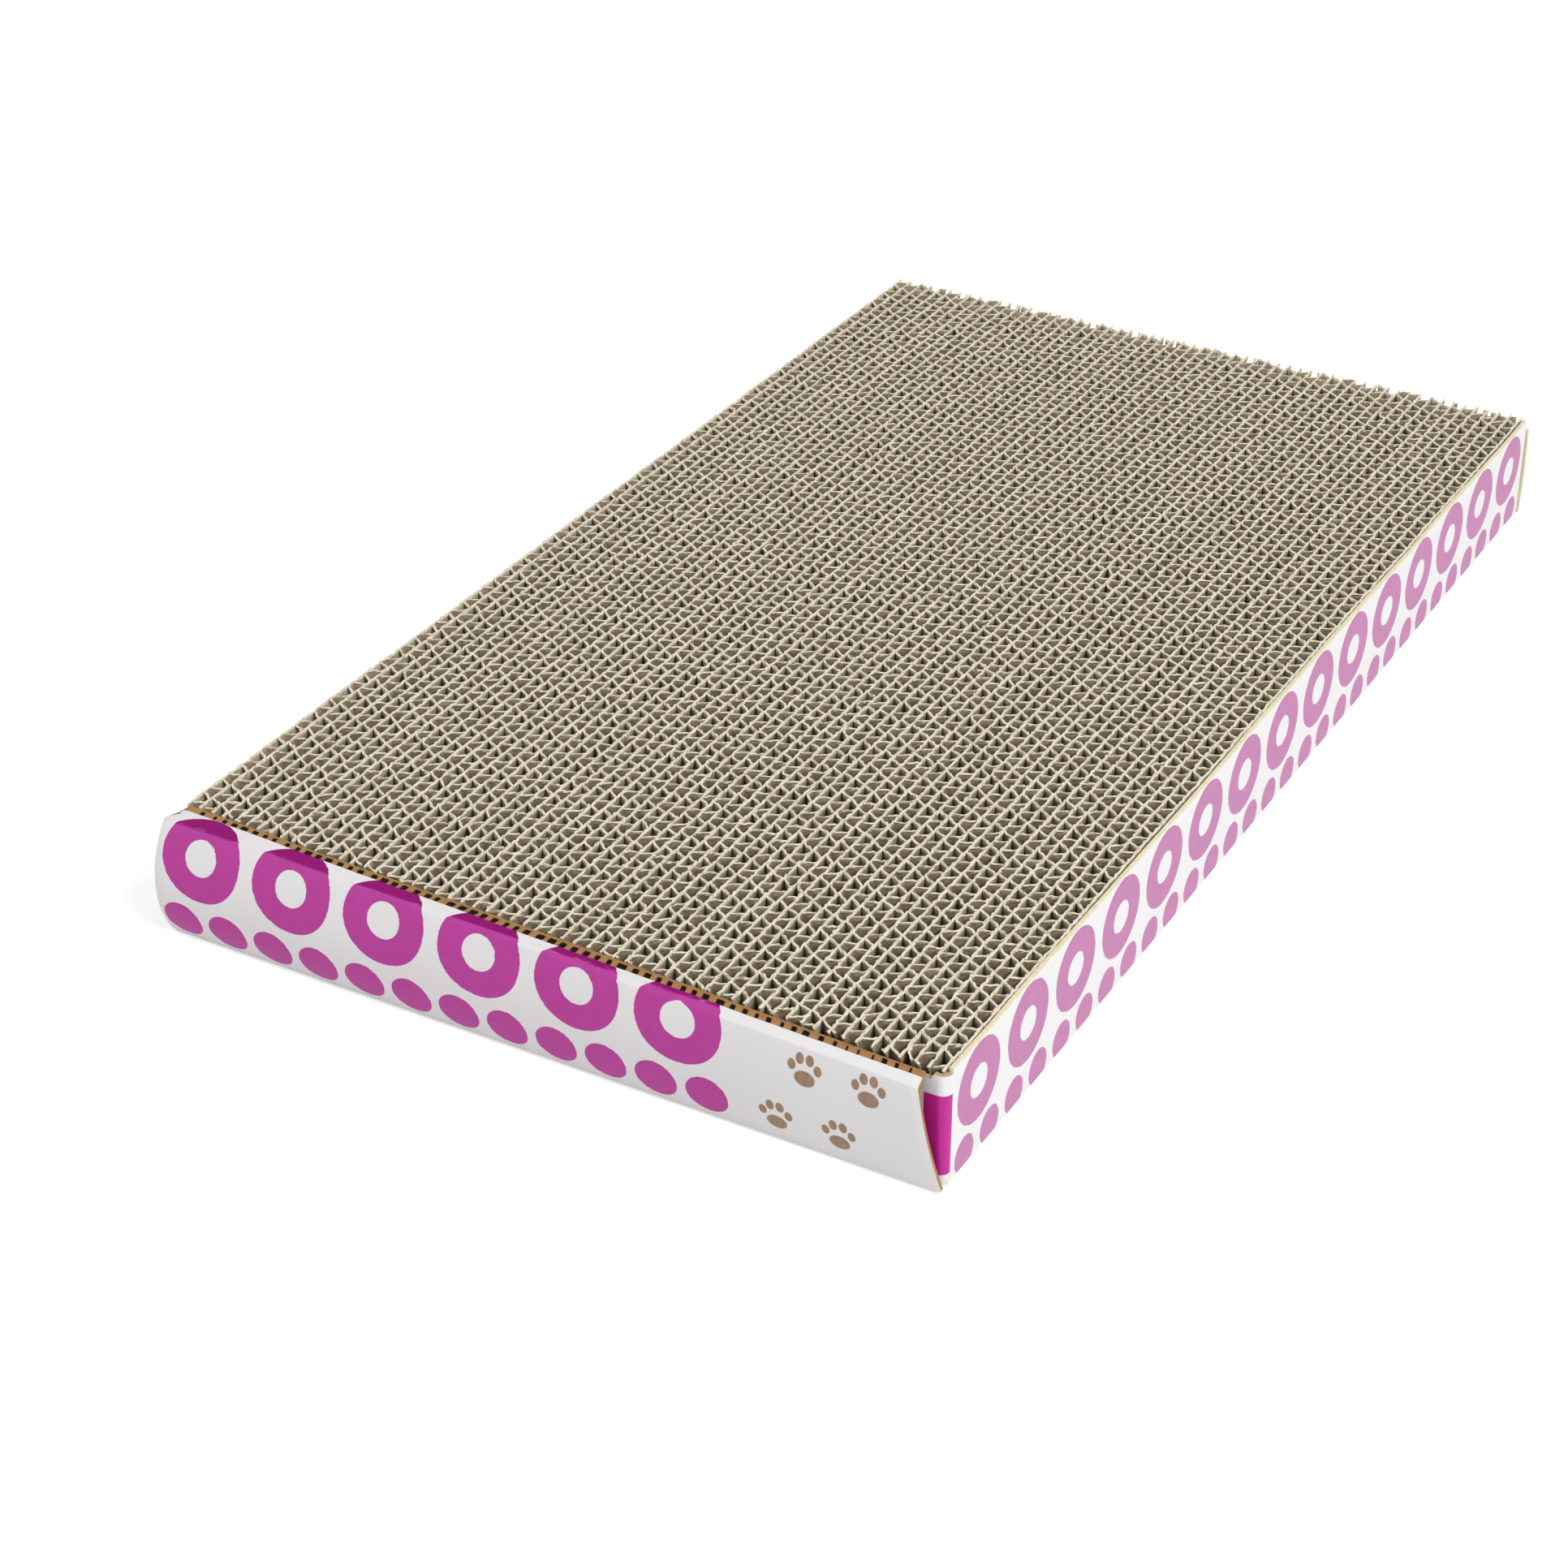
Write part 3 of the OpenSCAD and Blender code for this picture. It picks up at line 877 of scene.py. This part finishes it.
            # The open flute's inside is marked for its painted shade.
            up.append(OPEN_MARK if open_flute and 1 <= k <= 4 else 0)
        inside = last + above
        points.append(crease - inside / np.dot(inside, inside) * 2 * half)
        up.append(0)
        for t in np.linspace(0.95, 0, 12):
            spot, normal = at(t)
            points.append(spot - normal * half)
            up.append(0)
        spot, normal = at(0)
        down = np.array([normal[1], -normal[0]])
        for turn in (45, 90, 135):
            turn = math.radians(turn)
            points.append(spot + half * (down * math.sin(turn) - normal * math.cos(turn)))
            up.append(0)
        return points, up

    def across(self, s, ring, half):
        """Place across the width. The right end narrows upwards, the band's left end inwards."""
        high = np.clip(ring[:, 1] / 36, 0, 1)
        right = half - 5.9 * high
        beyond = np.clip(ring[:, 0] - 1.0, 0, 2.6)
        left = -half + np.where(ring[:, 1] > 30, beyond, 0)
        return left + (right - left) * s


class SCRATCHER_OT_walls(bpy.types.Operator):
    """Build the two printed side walls with their folds and crushed rims"""

    bl_idname = "scratcher.walls"
    bl_label = "Side walls"

    FOLD = 2 * MM  # outer radius of the fold at a wall's foot
    RIM = 1.4 * MM  # thickness of the crushed rim
    LEVELS = (8, 15, 22, 29, 32, 34.2)  # heights of the outer face's points, in millimetres
    SWAY = 0.3 * MM  # how far the wall's top waves from side to side
    NICKS = 0.16 * MM  # depth of the nicks in the rim

    def execute(self, context):
        settings = context.scene.scratcher
        sizes = settings.sizes
        material = make_wall_board(settings.colours, sizes)
        for side, name, seed in ((-1, "left_wall", 3), (1, "right_wall", 4)):
            self.wall(name, side, seed, sizes, material)
        return {"FINISHED"}

    def wall(self, name, side, seed, sizes, material):
        """One wall: a section swept along the tray, from the fold up the outer face and down."""
        low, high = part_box(name)
        stations = np.linspace(low.y, high.y, 201)
        half, top, rim = sizes.half_width, high.z, sizes.half_width - self.RIM
        inner = half - sizes.board
        section = self.fold(half, self.FOLD, np.linspace(0, math.pi / 2, 6))
        section += [(half, z * MM) for z in self.LEVELS]
        section += [(half - 0.06 * MM, top - 0.5 * MM), (half - 0.22 * MM, top - 0.08 * MM)]
        section += [(rim + 0.15 * MM, top), (rim - 0.05 * MM, top - 0.4 * MM)]
        section += [(inner, top - 1.7 * MM), (inner, 22 * MM), (inner, self.FOLD)]
        section += self.fold(half, self.FOLD - sizes.board, (math.pi / 4, 0))
        section = np.array(section)
        lift = np.clip(section[:, 1] / top, 0, 1)
        fade = ramp(high.y - np.abs(stations), 0, 20 * MM)
        sway = fade * waves(stations, seed, 6, 0.31)
        nicks = fade * waves(stations, seed + 50, 12, 0.09)
        rings = []
        for y, bend, nick in zip(stations, sway, nicks):
            x = section[:, 0] + self.SWAY * bend * lift ** 1.5
            z = section[:, 1] + self.NICKS * nick * ramp(lift, 0.95, 1)
            rings.append(np.stack([side * x, np.full_like(x, y), z], axis=1))
        piece = swept_board(name + "_board", np.array(rings))
        piece.data.materials.append(material)
        settle(piece, "tray", "printed_board", name)

    def fold(self, half, radius, turns):
        """Points of a wall's section round the centre of its fold."""
        return [(half - self.FOLD + radius * math.sin(turn), self.FOLD - radius * math.cos(turn))
                for turn in turns]


class SCRATCHER_OT_panels(bpy.types.Operator):
    """Finish the floor, the corner tabs and the back flap"""

    bl_idname = "scratcher.panels"
    bl_label = "Floor, tabs and back flap"

    def execute(self, context):
        settings = context.scene.scratcher
        sizes, colours = settings.sizes, settings.colours
        tab = make_tab_board(colours, sizes)
        for name in ("front_left_tab", "front_right_tab", "back_left_tab", "back_right_tab"):
            dress(name, tab)
        dress("tray_floor", make_floor_board(colours))
        dress("back_flap", make_back_board(colours, sizes))
        return {"FINISHED"}


# Stage


class SCRATCHER_OT_stage(bpy.types.Operator):
    """Build the pale floor, the soft studio light and the camera"""

    bl_idname = "scratcher.stage"
    bl_label = "Floor, light and camera"

    LAMPS = (  # name, place, width of the square and power
        ("key", (2.0, -0.7, 2.2), 1.2, 50),
        ("fill", (-1.2, -2.3, 1.4), 1.6, 9),
    )
    SKY = 0.55  # strength of the white surroundings
    VIEW = (29.16, 31.28, 0.32)  # the camera's turn, height angle and roll, in degrees
    VIEWPOINT = (0.4396, -0.8768, 0.5620)
    SENSOR = 36  # width of the camera's sensor in millimetres
    FOCAL_PIXELS, FRAME_PIXELS = 4233, 1932  # focal length and width of the photo in its pixels

    def execute(self, context):
        self.floor()
        self.lights(context)
        self.camera(context)
        context.scene.view_settings.view_transform = "Standard"
        return {"FINISHED"}

    def floor(self):
        """A pale floor that the camera sees as white, with the object's soft shadow on it."""
        clear_selection()
        bpy.ops.mesh.primitive_plane_add(size=12, location=(0, 0, -0.0002))
        floor = bpy.context.active_object
        floor.name = "studio_floor"
        ground = Shader("studio_floor")
        rays = ground.add("LightPath", {}).outputs
        seen = ground.calc("MAXIMUM", rays["Is Camera Ray"], rays["Is Glossy Ray"])
        seen = ground.calc("MAXIMUM", seen, rays["Is Transmission Ray"])
        glow = ground.add("Emission", {"Color": (1, 1, 1), "Strength": 0.5}).outputs[0]
        matt = ground.add("BsdfDiffuse", {"Color": (0.8, 0.8, 0.8)}).outputs[0]
        both = ground.add("AddShader", {0: glow, 1: matt}).outputs[0]
        pick = ground.add("MixShader", {0: seen, 1: matt, 2: both}).outputs[0]
        out = ground.tree.nodes["Material Output"]
        ground.tree.links.new(pick, out.inputs["Surface"])
        floor.data.materials.append(ground.material)

    def lights(self, context):
        """Even white surroundings, a large soft lamp from the right and a weak one in front."""
        world = bpy.data.worlds.new("studio")
        context.scene.world = world
        world.use_nodes = True
        tree = world.node_tree
        back = tree.nodes["Background"]
        back.inputs["Color"].default_value = (1, 1, 1, 1)
        back.inputs["Strength"].default_value = self.SKY
        rays = tree.nodes.new("ShaderNodeLightPath")
        white = tree.nodes.new("ShaderNodeBackground")
        white.inputs["Strength"].default_value = 1.0
        pick = tree.nodes.new("ShaderNodeMixShader")
        tree.links.new(rays.outputs["Is Camera Ray"], pick.inputs[0])
        tree.links.new(back.outputs[0], pick.inputs[1])
        tree.links.new(white.outputs[0], pick.inputs[2])
        tree.links.new(pick.outputs[0], tree.nodes["World Output"].inputs["Surface"])
        for name, place, size, power in self.LAMPS:
            clear_selection()
            bpy.ops.object.light_add(type="AREA", location=place)
            lamp = bpy.context.active_object
            lamp.name = name
            lamp.data.size = size
            lamp.data.energy = power
            lamp.rotation_euler = (-Vector(place)).to_track_quat("-Z", "Y").to_euler()

    def camera(self, context):
        """The photograph's own view point, angle and lens."""
        turn, lift, roll = (math.radians(angle) for angle in self.VIEW)
        back = Vector((math.sin(turn) * math.cos(lift), -math.cos(turn) * math.cos(lift),
                       math.sin(lift)))
        right = Vector((math.cos(turn), math.sin(turn), 0))
        up = back.cross(right)
        across = math.cos(roll) * right + math.sin(roll) * up
        above = -math.sin(roll) * right + math.cos(roll) * up
        clear_selection()
        bpy.ops.object.camera_add(location=self.VIEWPOINT)
        camera = bpy.context.active_object
        camera.rotation_euler = Matrix((across, above, back)).transposed().to_euler()
        camera.data.sensor_width = self.SENSOR
        camera.data.lens = self.SENSOR * self.FOCAL_PIXELS / self.FRAME_PIXELS
        context.scene.camera = camera


class SCRATCHER_PT_panel(bpy.types.Panel):
    """Sidebar panel with the scratcher's settings and its build steps."""

    bl_label = "Cat scratcher"
    bl_idname = "SCRATCHER_PT_panel"
    bl_space_type = "VIEW_3D"
    bl_region_type = "UI"
    bl_category = "Scratcher"

    def draw(self, context):
        settings = context.scene.scratcher
        for group in (settings.sizes, settings.colours):
            box = self.layout.box()
            for name in group.bl_rna.properties.keys():
                if name not in ("rna_type", "name"):
                    box.prop(group, name)
        for step in STEPS:
            self.layout.operator(step.bl_idname)


STEPS = (
    SCRATCHER_OT_stage,
    SCRATCHER_OT_front_flap,
    SCRATCHER_OT_walls,
    SCRATCHER_OT_panels,
    SCRATCHER_OT_pad,
)
CLASSES = (ScratcherSizes, ScratcherColours, ScratcherSettings, *STEPS, SCRATCHER_PT_panel)


def register():
    """Registers the settings, the build steps and the panel."""
    for item in CLASSES:
        bpy.utils.register_class(item)
    bpy.types.Scene.scratcher = bpy.props.PointerProperty(type=ScratcherSettings)


def unregister():
    """Takes back what register did."""
    del bpy.types.Scene.scratcher
    for item in reversed(CLASSES):
        bpy.utils.unregister_class(item)


def main():
    """Builds the scratcher step by step."""
    register()
    bpy.ops.scratcher.stage()
    bpy.ops.scratcher.front_flap()
    bpy.ops.scratcher.walls()
    bpy.ops.scratcher.panels()
    bpy.ops.scratcher.pad()


if __name__ == "__main__":
    main()
